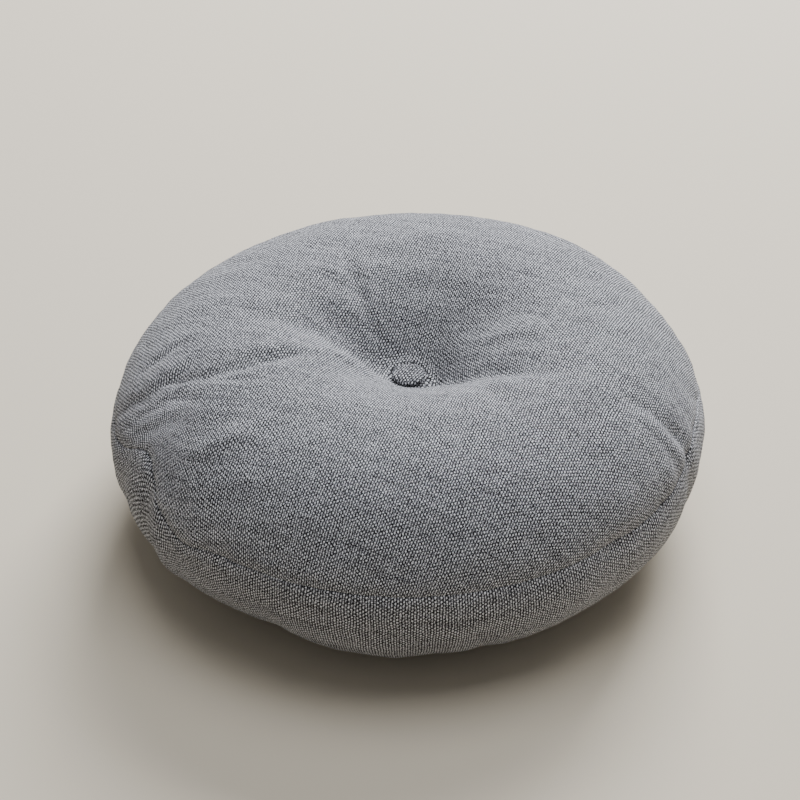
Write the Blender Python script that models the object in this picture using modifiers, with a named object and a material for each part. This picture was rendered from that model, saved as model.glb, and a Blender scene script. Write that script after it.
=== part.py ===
"""A round, thick meditation cushion: three sewn panels round one filling, and a covered button.

Metres, +Z up. The origin is the middle of the underside, on the surface that the cushion rests on.
The angle 0 is +X, and angles grow anticlockwise seen from above.
"""
import math
from typing import NamedTuple

import bpy
from mathutils import Vector

# Driving dimensions of the filled cushion
WIDEST_RADIUS = 0.2262
WIDEST_HEIGHT = 0.0886
CROWN_RADIUS = 0.108
CROWN_HEIGHT = 0.172
REST_RADIUS = 0.123
SEAT_RADIUS = 0.0131
SEAT_HEIGHT = 0.1265
LIP_HEIGHT = 0.0014
LIP_REACH = 0.0012

# Seams, each placed by its turn round the side: -90 degrees is the rim of the flat underside,
# 0 is the widest ring and 90 is the crown
UPPER_SEAM_TURN = 11.5
UPPER_SEAM_DEPTH = 0.0018
UPPER_SEAM_REACH = 0.0068
UPPER_SEAM_SPREAD = 28.0
LOWER_SEAM_TURN = -57.0
LOWER_SEAM_DEPTH = 0.0018
LOWER_SEAM_REACH = 0.008
PAST_SEAM = 0.016
SWELL_FADE = 0.055

# The covered button
BUTTON_RADIUS = 0.0128
BUTTON_THICKNESS = 0.0054
BUTTON_RIM_HEIGHT = 0.0028
BUTTON_BASE_RADIUS = 0.0098
BUTTON_FLATNESS = 0.66
BUTTON_GAP = 0.0004

# How finely the turned shapes are divided
CUSHION_STEPS = 164
BUTTON_STEPS = 36
LIP_PARTS = (0.007, 0.014, 0.026)
DIMPLE_ROWS = 10
SHOULDER_TURNS = (81, 70, 59, 48, 38, 29, 21, 15.5, 11.5, 7.5, 3)
SIDE_TURNS = (-3, -13, -24, -35, -45, -52, -57, -62, -70, -80)
UNDERSIDE_RADII = (0.123, 0.072)
MERGE_DISTANCE = 0.00001

CLOTH_COLOUR = (0.235, 0.238, 0.255, 1.0)
BUTTON_COLOUR = (0.225, 0.228, 0.245, 1.0)
CLOTH_ROUGHNESS = 0.92


class TopFold(NamedTuple):
    """A trough of the top panel that runs outwards; a negative depth makes it a ridge.

    Its line bows by some degrees half way. It deepens over the rise at its inner end and fades
    over the fall at its outer end.
    """

    inner_radius: float
    inner_angle: float
    outer_radius: float
    outer_angle: float
    bow: float
    half_width: float
    depth: float
    rise: float
    fall: float


class SidePucker(NamedTuple):
    """An upright trough or ridge of the side band, drawn in by the seams."""

    angle: float
    low: float
    high: float
    half_width: float
    depth: float


class SeamRise(NamedTuple):
    """A stretch where the upper seam climbs the side, or sinks where the turn is negative."""

    angle: float
    angle_reach: float
    turn: float


class Swell(NamedTuple):
    """A broad place where the filling stands out, or falls in where the amount is negative."""

    angle: float
    angle_reach: float
    height: float
    height_reach: float
    amount: float


# Radii, widths, depths, rises and falls in metres, angles and bows in degrees
TOP_FOLDS = (
    TopFold(0.011, 149, 0.145, 171, 0, 0.0192, 0.0041, 0.020, 0.105),
    TopFold(0.010, 158, 0.130, 170, 6, 0.0131, 0.0038, 0.007, 0.052),
    TopFold(0.021, 131, 0.121, 113, 0, 0.0063, 0.0024, 0.018, 0.019),
    TopFold(0.043, 148, 0.136, 152, 1, 0.0081, 0.0012, 0.018, 0.037),
    TopFold(0.010, 86, 0.100, 66, 3, 0.0200, 0.0020, 0.009, 0.050),
    TopFold(0.044, 83, 0.137, 72, 3, 0.0286, 0.0031, 0.034, 0.050),
    TopFold(0.029, 6, 0.132, 358, 0, 0.0091, -0.0015, 0.015, 0.042),
    TopFold(0.010, 341, 0.133, 347, -11, 0.0179, 0.0042, 0.009, 0.059),
    TopFold(0.010, 333, 0.140, 341, -8, 0.0100, 0.0042, 0.007, 0.051),
    TopFold(0.024, 322, 0.131, 309, -5, 0.0100, 0.0021, 0.013, 0.031),
    TopFold(0.018, 190, 0.174, 185, 5, 0.0083, -0.0023, 0.019, 0.071),
    TopFold(0.064, 193, 0.192, 190, 7, 0.0060, 0.0018, 0.034, 0.017),
    TopFold(0.139, 184, 0.229, 186, 7, 0.0062, 0.0034, 0.049, 0.023),
    TopFold(0.172, 208, 0.222, 198, 0, 0.0092, 0.0022, 0.021, 0.010),
    TopFold(0.159, 202, 0.227, 193, 0, 0.0086, 0.0026, 0.019, 0.022),
    TopFold(0.148, 225, 0.203, 214, 1, 0.0082, -0.0016, 0.021, 0.016),
    TopFold(0.160, 336, 0.222, 341, 0, 0.0060, 0.0020, 0.018, 0.014),
    TopFold(0.190, 338, 0.228, 340, 0, 0.0066, 0.0034, 0.022, 0.010),
)

SIDE_PUCKERS = (
    SidePucker(211, 0.045, 0.110, 0.0090, 0.0032),
    SidePucker(216, 0.045, 0.110, 0.0075, -0.0016),
    SidePucker(200, 0.045, 0.110, 0.0100, 0.0020),
    SidePucker(241, 0.035, 0.095, 0.0110, 0.0018),
    SidePucker(274, 0.030, 0.092, 0.0110, 0.0014),
    SidePucker(285, 0.030, 0.090, 0.0095, 0.0014),
    SidePucker(311, 0.045, 0.100, 0.0160, 0.0026),
    SidePucker(338, 0.050, 0.105, 0.0095, 0.0020),
    SidePucker(18, 0.040, 0.100, 0.0110, 0.0018),
    SidePucker(52, 0.035, 0.095, 0.0120, 0.0016),
    SidePucker(84, 0.040, 0.098, 0.0110, 0.0018),
    SidePucker(121, 0.035, 0.095, 0.0130, 0.0016),
    SidePucker(157, 0.040, 0.100, 0.0110, 0.0020),
)

SEAM_RISES = (
    SeamRise(206, 8, 17.0),
    SeamRise(223, 6, -6.0),
    SeamRise(350, 14, 9.0),
    SeamRise(75, 16, 3.0),
    SeamRise(128, 14, -3.0),
)

SWELLS = (
    Swell(190, 16, 0.088, 0.040, 0.0016),
    Swell(214, 12, 0.048, 0.032, 0.0028),
    Swell(238, 13, 0.038, 0.034, -0.0034),
    Swell(262, 16, 0.030, 0.030, 0.0024),
    Swell(318, 18, 0.046, 0.034, -0.0003),
    Swell(345, 12, 0.076, 0.036, -0.0020),
    Swell(137, 24, 0.140, 0.045, -0.0010),
    Swell(172, 14, 0.112, 0.036, -0.0014),
    Swell(52, 20, 0.142, 0.045, 0.0042),
    Swell(76, 9, 0.146, 0.040, 0.0006),
    Swell(305, 25, 0.104, 0.014, -0.0032),
    Swell(272, 25, 0.127, 0.023, -0.0012),
    Swell(337, 13, 0.123, 0.025, 0.0010),
)


def bell(distance: float, reach: float) -> float:
    """Return a smooth bump that is 1 at no distance and about 0 past twice its reach."""
    return math.exp(-((distance / reach) ** 2))


def angle_between(first: float, second: float) -> float:
    """Return the signed angle in degrees from the second direction to the first."""
    return (first - second + 180.0) % 360.0 - 180.0


def eased(part: float) -> float:
    """Return a part clipped to 0 to 1, with a smooth start and end."""
    clipped = min(max(part, 0.0), 1.0)
    return clipped * clipped * (3.0 - 2.0 * clipped)


def faded(value: float, low: float, high: float, fade: float) -> float:
    """Return 1 inside a range and fall smoothly to 0 over the fade past each of its ends."""
    outside = max(low - value, value - high, 0.0)
    part = min(outside / fade, 1.0)
    return 0.5 + 0.5 * math.cos(math.pi * part)


def side_point(turn: float) -> tuple[float, float]:
    """Return the radius and height at a turn round the cushion's side, on two elliptic arcs."""
    angle = math.radians(turn)
    if turn >= 0.0:
        radius = CROWN_RADIUS + (WIDEST_RADIUS - CROWN_RADIUS) * math.cos(angle)
        height = WIDEST_HEIGHT + (CROWN_HEIGHT - WIDEST_HEIGHT) * math.sin(angle)
    else:
        radius = REST_RADIUS + (WIDEST_RADIUS - REST_RADIUS) * math.cos(angle)
        height = WIDEST_HEIGHT + WIDEST_HEIGHT * math.sin(angle)
    return radius, height


def dimple_point(part: float) -> tuple[float, float]:
    """Return the radius and height at a part of the way from the button's seat to the crown.

    The cloth stands up in a small lip round the button and then climbs to the crown.
    """
    away = (CROWN_RADIUS - SEAT_RADIUS) * part
    lip = LIP_HEIGHT * (1.0 - bell(away, LIP_REACH))
    climb = (CROWN_HEIGHT - SEAT_HEIGHT - LIP_HEIGHT) * math.sin(0.5 * math.pi * part)
    return SEAT_RADIUS + away, SEAT_HEIGHT + lip + climb


def cushion_profile() -> list[tuple[float, float]]:
    """Return the cushion's half section, from the middle of the top down to the underside."""
    points = [(0.0, SEAT_HEIGHT), (SEAT_RADIUS, SEAT_HEIGHT)]
    points += [dimple_point(part) for part in LIP_PARTS]
    points += [dimple_point((row / DIMPLE_ROWS) ** 1.25) for row in range(1, DIMPLE_ROWS + 1)]
    points += [side_point(turn) for turn in SHOULDER_TURNS + SIDE_TURNS]
    points += [(radius, 0.0) for radius in UNDERSIDE_RADII]
    points.append((0.0, 0.0))
    return points


def button_profile() -> list[tuple[float, float]]:
    """Return the button's half section: a low dome over a rim that turns under."""
    base = SEAT_HEIGHT + BUTTON_GAP
    rim_height = base + BUTTON_RIM_HEIGHT
    dome = BUTTON_THICKNESS - BUTTON_RIM_HEIGHT
    points = []
    for turn in range(90, -1, -15):
        angle = math.radians(turn)
        radius = BUTTON_RADIUS * math.cos(angle) ** BUTTON_FLATNESS
        points.append((radius, rim_height + dome * math.sin(angle)))
    points[0] = (0.0, base + BUTTON_THICKNESS)
    for turn in (30, 60, 90):
        angle = math.radians(turn)
        radius = BUTTON_BASE_RADIUS + (BUTTON_RADIUS - BUTTON_BASE_RADIUS) * math.cos(angle)
        points.append((radius, rim_height - (rim_height - base) * math.sin(angle)))
    points.append((0.0, base))
    return points


def turned(name: str, profile: list[tuple[float, float]], steps: int) -> bpy.types.Object:
    """Return a closed mesh object made by turning a half section once round +Z."""
    outline = bpy.data.meshes.new(name + "_section")
    edges = [(index, index + 1) for index in range(len(profile) - 1)]
    outline.from_pydata([(radius, 0.0, height) for radius, height in profile], edges, [])
    section = bpy.data.objects.new(name + "_section", outline)
    bpy.context.scene.collection.objects.link(section)
    screw = section.modifiers.new("Turn", "SCREW")
    screw.axis = "Z"
    screw.angle = math.tau
    screw.steps = steps
    screw.render_steps = steps
    screw.use_merge_vertices = True
    screw.merge_threshold = MERGE_DISTANCE
    bpy.context.view_layer.update()
    evaluated = section.evaluated_get(bpy.context.evaluated_depsgraph_get())
    mesh = bpy.data.meshes.new_from_object(evaluated)
    mesh.name = name
    bpy.data.objects.remove(section)
    bpy.data.meshes.remove(outline)
    return bpy.data.objects.new(name, mesh)


def side_length() -> float:
    """Return the length of side that one radian of turn covers, near the widest ring."""
    return WIDEST_RADIUS - CROWN_RADIUS


def seam_pull(turn: float, seam_turn: float, reach: float) -> float:
    """Return how strongly a seam pulls in a point of the side, from 0 to 1."""
    return bell(math.radians(turn - seam_turn) * side_length(), reach)


def turn_of(radius: float, height: float) -> float:
    """Return the turn round the side at which a point of the turned shape lies."""
    if height >= WIDEST_HEIGHT:
        rise = (height - WIDEST_HEIGHT) / (CROWN_HEIGHT - WIDEST_HEIGHT)
        run = (radius - CROWN_RADIUS) / (WIDEST_RADIUS - CROWN_RADIUS)
    else:
        rise = (height - WIDEST_HEIGHT) / WIDEST_HEIGHT
        run = (radius - REST_RADIUS) / (WIDEST_RADIUS - REST_RADIUS)
    return math.degrees(math.atan2(rise, run))


def seam_rise(angle: float) -> float:
    """Return by how many degrees of turn the upper seam climbs at an angle round the cushion."""
    return sum(
        rise.turn * bell(angle_between(angle, rise.angle), rise.angle_reach) for rise in SEAM_RISES
    )


def top_depth(radius: float, angle: float) -> float:
    """Return how far the top panel's folds press in at a radius and an angle."""
    total = 0.0
    for fold in TOP_FOLDS:
        part = (radius - fold.inner_radius) / (fold.outer_radius - fold.inner_radius)
        swing = angle_between(fold.outer_angle, fold.inner_angle)
        centre = fold.inner_angle + swing * part + fold.bow * 4.0 * part * (1.0 - part)
        across = radius * math.radians(angle_between(angle, centre))
        reach = eased((radius - fold.inner_radius) / fold.rise)
        reach *= eased((fold.outer_radius - radius) / fold.fall)
        total += fold.depth * reach * bell(across, fold.half_width)
    return total


def side_depth(radius: float, angle: float, height: float) -> float:
    """Return how far the side band's puckers press in at a place on the side."""
    total = 0.0
    for pucker in SIDE_PUCKERS:
        across = radius * math.radians(angle_between(angle, pucker.angle))
        reach = faded(height, pucker.low, pucker.high, 0.016)
        total += pucker.depth * reach * bell(across, pucker.half_width)
    return total


def swell_amount(angle: float, height: float) -> float:
    """Return how far the broad swells push the form out at a place, or let it in where negative."""
    total = 0.0
    for swell in SWELLS:
        level = bell(height - swell.height, swell.height_reach)
        total += swell.amount * level * bell(angle_between(angle, swell.angle), swell.angle_reach)
    return total


def pressed_point(place: Vector, normal: Vector) -> Vector:
    """Return where a point of the plainly turned cushion goes once it is sewn and buttoned."""
    radius = math.hypot(place.x, place.y)
    height = place.z
    on_seat = radius < SEAT_RADIUS * 0.9
    on_underside = height < 0.001
    if on_seat or on_underside:
        return place.copy()
    angle = math.degrees(math.atan2(place.y, place.x))
    on_side = radius >= CROWN_RADIUS or height < WIDEST_HEIGHT
    moved = place.copy()
    depth = 0.0
    if on_side:
        turn = turn_of(radius, height)
        climb = seam_rise(angle) * bell(turn - UPPER_SEAM_TURN, UPPER_SEAM_SPREAD)
        new_radius, new_height = side_point(turn + climb)
        moved = Vector((place.x * new_radius / radius, place.y * new_radius / radius, new_height))
        depth += UPPER_SEAM_DEPTH * seam_pull(turn, UPPER_SEAM_TURN, UPPER_SEAM_REACH)
        depth += LOWER_SEAM_DEPTH * seam_pull(turn, LOWER_SEAM_TURN, LOWER_SEAM_REACH)
        depth += side_depth(new_radius, angle, new_height)
        depth -= swell_amount(angle, new_height)
    else:
        inwards = (CROWN_RADIUS - radius) / SWELL_FADE
        depth -= swell_amount(angle, CROWN_HEIGHT) * (1.0 - eased(inwards))
    past_seam = side_length() * math.radians(UPPER_SEAM_TURN - turn) if on_side else 0.0
    kept = 1.0 - eased(past_seam / PAST_SEAM)
    depth += kept * top_depth(math.hypot(moved.x, moved.y), angle)
    if radius < SEAT_RADIUS * 1.01:
        depth = max(depth, 0.0)
    return moved - normal * depth


def press(cushion: bpy.types.Object) -> None:
    """Press the folds, the puckers and the sewn channels into the turned cushion."""
    vertices = cushion.data.vertices
    moved = [pressed_point(vertex.co, vertex.normal) for vertex in vertices]
    for vertex, place in zip(vertices, moved):
        vertex.co = place


def cloth_material(name: str, colour: tuple[float, float, float, float]) -> bpy.types.Material:
    """Return a matt woven-cloth material."""
    material = bpy.data.materials.new(name)
    material.use_nodes = True
    shader = material.node_tree.nodes["Principled BSDF"]
    shader.inputs["Base Color"].default_value = colour
    shader.inputs["Roughness"].default_value = CLOTH_ROUGHNESS
    shader.inputs["Metallic"].default_value = 0.0
    return material


def build_cushion() -> bpy.types.Object:
    """Return the filled cushion, with its dimple, folds, seams and flat underside."""
    cushion = turned("cushion", cushion_profile(), CUSHION_STEPS)
    press(cushion)
    cushion.data.shade_smooth()
    cushion.data.materials.append(cloth_material("grey_cloth", CLOTH_COLOUR))
    return cushion


def build_button() -> bpy.types.Object:
    """Return the covered button that holds the middle of the top panel down."""
    button = turned("button", button_profile(), BUTTON_STEPS)
    button.data.shade_smooth()
    button.data.materials.append(cloth_material("button_cloth", BUTTON_COLOUR))
    return button


def centre_on_box(pieces: list[bpy.types.Object]) -> None:
    """Move all pieces together so that their shared box stands centred over the origin."""
    points = [vertex.co for piece in pieces for vertex in piece.data.vertices]
    middle_x = 0.5 * (min(point.x for point in points) + max(point.x for point in points))
    middle_y = 0.5 * (min(point.y for point in points) + max(point.y for point in points))
    shift = Vector((-middle_x, -middle_y, 0.0))
    for piece in pieces:
        for vertex in piece.data.vertices:
            vertex.co += shift


def main() -> None:
    """Clear the scene and build the cushion in a collection of its own."""
    for item in list(bpy.data.objects):
        bpy.data.objects.remove(item)
    pieces = [build_cushion(), build_button()]
    centre_on_box(pieces)
    collection = bpy.data.collections.new("meditation_cushion")
    bpy.context.scene.collection.children.link(collection)
    for piece in pieces:
        collection.objects.link(piece)


main()
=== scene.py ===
"""A round meditation cushion: a sewn, filled form and its covered button, in slubby heathered cloth.

Every length is in metres, +Z is up, and angles are in degrees, anticlockwise from +X as seen from
above. The cloth's own sizes, such as the spacing of its threads, are in millimetres and say so.
"""
import logging
import math
from dataclasses import dataclass
from enum import Enum
from typing import Any, Iterable, NamedTuple, Sequence

import bpy
import numpy as np
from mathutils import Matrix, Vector


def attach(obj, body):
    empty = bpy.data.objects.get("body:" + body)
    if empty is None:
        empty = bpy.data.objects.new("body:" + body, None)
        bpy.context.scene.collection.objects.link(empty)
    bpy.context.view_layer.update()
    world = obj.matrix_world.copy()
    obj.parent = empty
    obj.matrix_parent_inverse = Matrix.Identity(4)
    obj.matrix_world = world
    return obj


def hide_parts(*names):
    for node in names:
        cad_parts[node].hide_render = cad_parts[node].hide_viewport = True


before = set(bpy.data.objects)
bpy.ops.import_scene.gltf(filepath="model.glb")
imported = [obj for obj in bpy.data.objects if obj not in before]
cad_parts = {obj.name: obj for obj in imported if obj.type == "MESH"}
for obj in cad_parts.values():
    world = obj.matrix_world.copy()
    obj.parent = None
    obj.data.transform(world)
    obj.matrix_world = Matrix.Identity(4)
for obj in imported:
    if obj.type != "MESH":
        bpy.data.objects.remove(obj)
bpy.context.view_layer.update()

LOG = logging.getLogger("cushion")
GRAIN_MAP = "grain"
MERGE_DISTANCE = 0.000005
MM = 0.001


class Panel(Enum):
    """The three pieces of cloth that are sewn into the bag."""

    TOP = 0
    BAND = 1
    BOTTOM = 2


class Fold(NamedTuple):
    """A trough of the top panel that runs outwards; a negative depth makes it a ridge.

    Its line bows by some degrees half way. It deepens over the rise at its inner end and fades
    over the fall at its outer end.
    """

    inner_radius: float
    inner_angle: float
    outer_radius: float
    outer_angle: float
    bow: float
    half_width: float
    depth: float
    rise: float
    fall: float


class Pucker(NamedTuple):
    """An upright trough or ridge of the side band between two heights."""

    angle: float
    low: float
    high: float
    half_width: float
    depth: float


class SeamRise(NamedTuple):
    """A stretch where the upper seam climbs the side, or sinks where the turn is negative."""

    angle: float
    angle_reach: float
    turn: float


class Swell(NamedTuple):
    """A broad place where the filling stands out, or falls in where the amount is negative."""

    angle: float
    angle_reach: float
    height: float
    height_reach: float
    amount: float


# The main folds, the same as the filled solid's
MAIN_FOLDS = (
    Fold(0.011, 149, 0.145, 171, 0, 0.0192, 0.0041, 0.020, 0.105),
    Fold(0.010, 158, 0.130, 170, 6, 0.0131, 0.0038, 0.007, 0.052),
    Fold(0.021, 131, 0.121, 113, 0, 0.0063, 0.0024, 0.018, 0.019),
    Fold(0.043, 148, 0.136, 152, 1, 0.0081, 0.0012, 0.018, 0.037),
    Fold(0.010, 86, 0.100, 66, 3, 0.0200, 0.0020, 0.009, 0.050),
    Fold(0.044, 83, 0.137, 72, 3, 0.0286, 0.0031, 0.034, 0.050),
    Fold(0.029, 6, 0.132, 358, 0, 0.0091, -0.0015, 0.015, 0.042),
    Fold(0.010, 341, 0.133, 347, -11, 0.0179, 0.0042, 0.009, 0.059),
    Fold(0.010, 333, 0.140, 341, -8, 0.0100, 0.0042, 0.007, 0.051),
    Fold(0.024, 322, 0.131, 309, -5, 0.0100, 0.0021, 0.013, 0.031),
    Fold(0.018, 190, 0.174, 185, 5, 0.0083, -0.0023, 0.019, 0.071),
    Fold(0.064, 193, 0.192, 190, 7, 0.0060, 0.0018, 0.034, 0.017),
    Fold(0.139, 184, 0.229, 186, 7, 0.0062, 0.0034, 0.049, 0.023),
    Fold(0.172, 208, 0.222, 198, 0, 0.0092, 0.0022, 0.021, 0.010),
    Fold(0.159, 202, 0.227, 193, 0, 0.0086, 0.0026, 0.019, 0.022),
    Fold(0.148, 225, 0.203, 214, 1, 0.0082, -0.0016, 0.021, 0.016),
    Fold(0.160, 336, 0.222, 341, 0, 0.0060, 0.0020, 0.018, 0.014),
    Fold(0.190, 338, 0.228, 340, 0, 0.0066, 0.0034, 0.022, 0.010),
)

# Narrower creases that only the finished cloth has
FINE_FOLDS = (
    Fold(0.064, 195, 0.189, 190, 8, 0.0036, 0.0015, 0.033, 0.020),
    Fold(0.135, 188, 0.226, 189, 6, 0.0036, 0.0012, 0.046, 0.018),
    Fold(0.111, 214, 0.204, 197, -6, 0.0039, 0.0013, 0.022, 0.030),
    Fold(0.160, 179, 0.208, 184, 0, 0.0040, 0.0022, 0.018, 0.018),
    Fold(0.171, 333, 0.225, 334, 0, 0.0036, 0.0010, 0.023, 0.010),
    Fold(0.198, 329, 0.226, 326, 0, 0.0079, 0.0014, 0.012, 0.010),
    Fold(0.182, 359, 0.224, 353, 0, 0.0058, 0.0009, 0.016, 0.012),
    Fold(0.034, 150, 0.100, 158, 1, 0.0041, 0.0003, 0.015, 0.030),
    Fold(0.030, 8, 0.105, 354, -3, 0.0042, 0.0003, 0.012, 0.035),
)

SIDE_PUCKERS = (
    Pucker(211, 0.045, 0.110, 0.0090, 0.0032),
    Pucker(216, 0.045, 0.110, 0.0075, -0.0016),
    Pucker(200, 0.045, 0.110, 0.0100, 0.0020),
    Pucker(241, 0.035, 0.095, 0.0110, 0.0018),
    Pucker(274, 0.030, 0.092, 0.0110, 0.0014),
    Pucker(285, 0.030, 0.090, 0.0095, 0.0014),
    Pucker(311, 0.045, 0.100, 0.0160, 0.0026),
    Pucker(338, 0.050, 0.105, 0.0095, 0.0020),
    Pucker(18, 0.040, 0.100, 0.0110, 0.0018),
    Pucker(52, 0.035, 0.095, 0.0120, 0.0016),
    Pucker(84, 0.040, 0.098, 0.0110, 0.0018),
    Pucker(121, 0.035, 0.095, 0.0130, 0.0016),
    Pucker(157, 0.040, 0.100, 0.0110, 0.0020),
)

SEAM_RISES = (
    SeamRise(206, 8, 17.0),
    SeamRise(223, 6, -6.0),
    SeamRise(350, 14, 9.0),
    SeamRise(75, 16, 3.0),
    SeamRise(128, 14, -3.0),
)

SWELLS = (
    Swell(190, 16, 0.088, 0.040, 0.0016),
    Swell(214, 12, 0.048, 0.032, 0.0028),
    Swell(238, 13, 0.038, 0.034, -0.0034),
    Swell(262, 16, 0.030, 0.030, 0.0024),
    Swell(318, 18, 0.046, 0.034, -0.0003),
    Swell(345, 12, 0.076, 0.036, -0.0020),
    Swell(137, 24, 0.140, 0.045, -0.0010),
    Swell(172, 14, 0.112, 0.036, -0.0014),
    Swell(52, 20, 0.142, 0.045, 0.0042),
    Swell(76, 9, 0.146, 0.040, 0.0006),
    Swell(305, 25, 0.104, 0.014, -0.0032),
    Swell(272, 25, 0.127, 0.023, -0.0012),
    Swell(337, 13, 0.123, 0.025, 0.0010),
)


def linear_colour(sheet: str) -> tuple[float, float, float, float]:
    """Turn an sRGB colour into the linear one that shaders use.

    Args:
        sheet: The colour as six hex digits, such as "8A8B92".

    Returns:
        Linear red, green and blue, and an alpha of 1.
    """
    parts = [int(sheet[index : index + 2], 16) / 255.0 for index in (0, 2, 4)]
    linear = [
        part / 12.92 if part <= 0.04045 else ((part + 0.055) / 1.055) ** 2.4 for part in parts
    ]
    return (linear[0], linear[1], linear[2], 1.0)


def add_node(
    tree: bpy.types.NodeTree,
    kind: str,
    settings: dict[str, Any] | None = None,
    inputs: dict[str | int, Any] | None = None,
) -> bpy.types.Node:
    """Add a shader node with its settings, its values and its links.

    Args:
        tree: The node tree that takes the node.
        kind: The node's type, such as "ShaderNodeMath".
        settings: Attribute names and their values.
        inputs: Input names or numbers, each with a value or with the socket that feeds it.

    Returns:
        The new node.
    """
    node = tree.nodes.new(kind)
    for name, value in (settings or {}).items():
        setattr(node, name, value)
    for name, value in (inputs or {}).items():
        if isinstance(value, bpy.types.NodeSocket):
            tree.links.new(value, node.inputs[name])
        else:
            node.inputs[name].default_value = value
    return node


def bell(distance: np.ndarray, reach: float) -> np.ndarray:
    """Return a smooth bump that is 1 at no distance and about 0 past twice its reach."""
    return np.exp(-np.square(distance / reach))


def angle_between(first: np.ndarray, second: np.ndarray | float) -> np.ndarray:
    """Return the signed angle in degrees from the second direction to the first."""
    return (first - second + 180.0) % 360.0 - 180.0


def eased(part: np.ndarray) -> np.ndarray:
    """Return a part clipped to 0 to 1, with a smooth start and end."""
    clipped = np.clip(part, 0.0, 1.0)
    return clipped * clipped * (3.0 - 2.0 * clipped)


def faded(value: np.ndarray, low: float, high: float, fade: float) -> np.ndarray:
    """Return 1 inside a range and fall smoothly to 0 over the fade past each of its ends."""
    outside = np.maximum(np.maximum(low - value, value - high), 0.0)
    return 0.5 + 0.5 * np.cos(np.pi * np.minimum(outside / fade, 1.0))


def lumps(points: np.ndarray, size: float, waves: int, seed: int) -> np.ndarray:
    """Return a smooth, uneven value at each point, mostly between -1 and 1.

    Args:
        points: One row of x, y and z for each point.
        size: The usual distance from one lump to the next.
        waves: How many plane waves are added up.
        seed: What makes this unevenness its own, the same on each run.

    Returns:
        One value for each point.
    """
    draw = np.random.default_rng(seed)
    total = np.zeros(len(points))
    for _ in range(waves):
        direction = draw.normal(size=3)
        direction /= np.linalg.norm(direction)
        length = size * draw.uniform(0.7, 1.5)
        phase = draw.uniform(0.0, math.tau)
        total += np.cos(points @ direction * (math.tau / length) + phase)
    return total * math.sqrt(2.0 / waves) * 0.6


def graded(start: float, stop: float, centre: float, fine: float, coarse: float) -> list[float]:
    """Return places from start to stop that lie closer together near a centre.

    Args:
        start: The first place.
        stop: The last place, on either side of the first.
        centre: Where the places lie closest.
        fine: The distance between places at the centre.
        coarse: The largest distance between places.

    Returns:
        The places in order, start and stop among them.
    """
    growth = 0.16
    sign = 1.0 if stop > start else -1.0
    places = [start]
    while (stop - places[-1]) * sign > 0.0:
        step = min(fine + growth * abs(places[-1] - centre), coarse)
        places.append(places[-1] + sign * step)
    span = places[-1] - start
    return [start + (place - start) * (stop - start) / span for place in places]


def select_only(piece: bpy.types.Object) -> None:
    """Leave one object selected and active."""
    bpy.ops.object.select_all(action="DESELECT")
    piece.select_set(True)
    bpy.context.view_layer.objects.active = piece


def apply_modifiers(piece: bpy.types.Object) -> None:
    """Apply every modifier of a piece to its mesh, in their order."""
    select_only(piece)
    for modifier in list(piece.modifiers):
        bpy.ops.object.modifier_apply(modifier=modifier.name)


def mesh_array(mesh: bpy.types.Mesh, name: str) -> np.ndarray:
    """Return the vertices' "co" or "normal" values, one row of three for each vertex."""
    values = np.empty(len(mesh.vertices) * 3, dtype=np.float32)
    mesh.vertices.foreach_get(name, values)
    return values.reshape(-1, 3).astype(np.float64)


def move_vertices(mesh: bpy.types.Mesh, places: np.ndarray) -> None:
    """Put every vertex of a mesh at its new place."""
    mesh.vertices.foreach_set("co", places.astype(np.float32).ravel())
    mesh.update()


def turned_piece(name: str, section: Sequence[tuple[float, float]], steps: int) -> bpy.types.Object:
    """Extrude a half section point by point and spin it once round +Z.

    Args:
        name: The new piece's name.
        section: Radius and height of each point, from the middle of the top to that of the underside.
        steps: How many steps the spin takes.

    Returns:
        A closed piece at the origin, with its faces pointing outwards.
    """
    bpy.ops.object.select_all(action="DESELECT")
    bpy.ops.mesh.primitive_plane_add(size=0.01, location=(0.0, 0.0, 0.0))
    piece = bpy.context.active_object
    piece.name = name
    piece.data.name = name
    bpy.ops.object.mode_set(mode="EDIT")
    bpy.ops.mesh.merge(type="CENTER")
    bpy.ops.transform.translate(value=(section[0][0], 0.0, section[0][1]))
    for (radius, height), (next_radius, next_height) in zip(section, section[1:]):
        step = (next_radius - radius, 0.0, next_height - height)
        bpy.ops.mesh.extrude_vertices_move(TRANSFORM_OT_translate={"value": step})
    bpy.ops.mesh.select_all(action="SELECT")
    bpy.ops.mesh.spin(
        steps=steps, angle=math.tau, center=(0.0, 0.0, 0.0), axis=(0.0, 0.0, 1.0), use_auto_merge=True
    )
    bpy.ops.mesh.select_all(action="SELECT")
    bpy.ops.mesh.remove_doubles(threshold=MERGE_DISTANCE)
    bpy.ops.mesh.normals_make_consistent(inside=False)
    bpy.ops.object.mode_set(mode="OBJECT")
    bpy.ops.object.shade_smooth()
    return piece


def write_grain(mesh: bpy.types.Mesh, along: np.ndarray, across: np.ndarray) -> None:
    """Lay the weave on a mesh, as a UV map in metres.

    Args:
        mesh: The mesh that takes the map.
        along: For each face corner, how far along the filling threads it lies.
        across: For each face corner, how far across them it lies.
    """
    layer = mesh.uv_layers.new(name=GRAIN_MAP)
    mesh.uv_layers.active = layer
    pairs = np.stack([along, across], axis=1).astype(np.float32)
    layer.data.foreach_set("uv", pairs.ravel())


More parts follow.
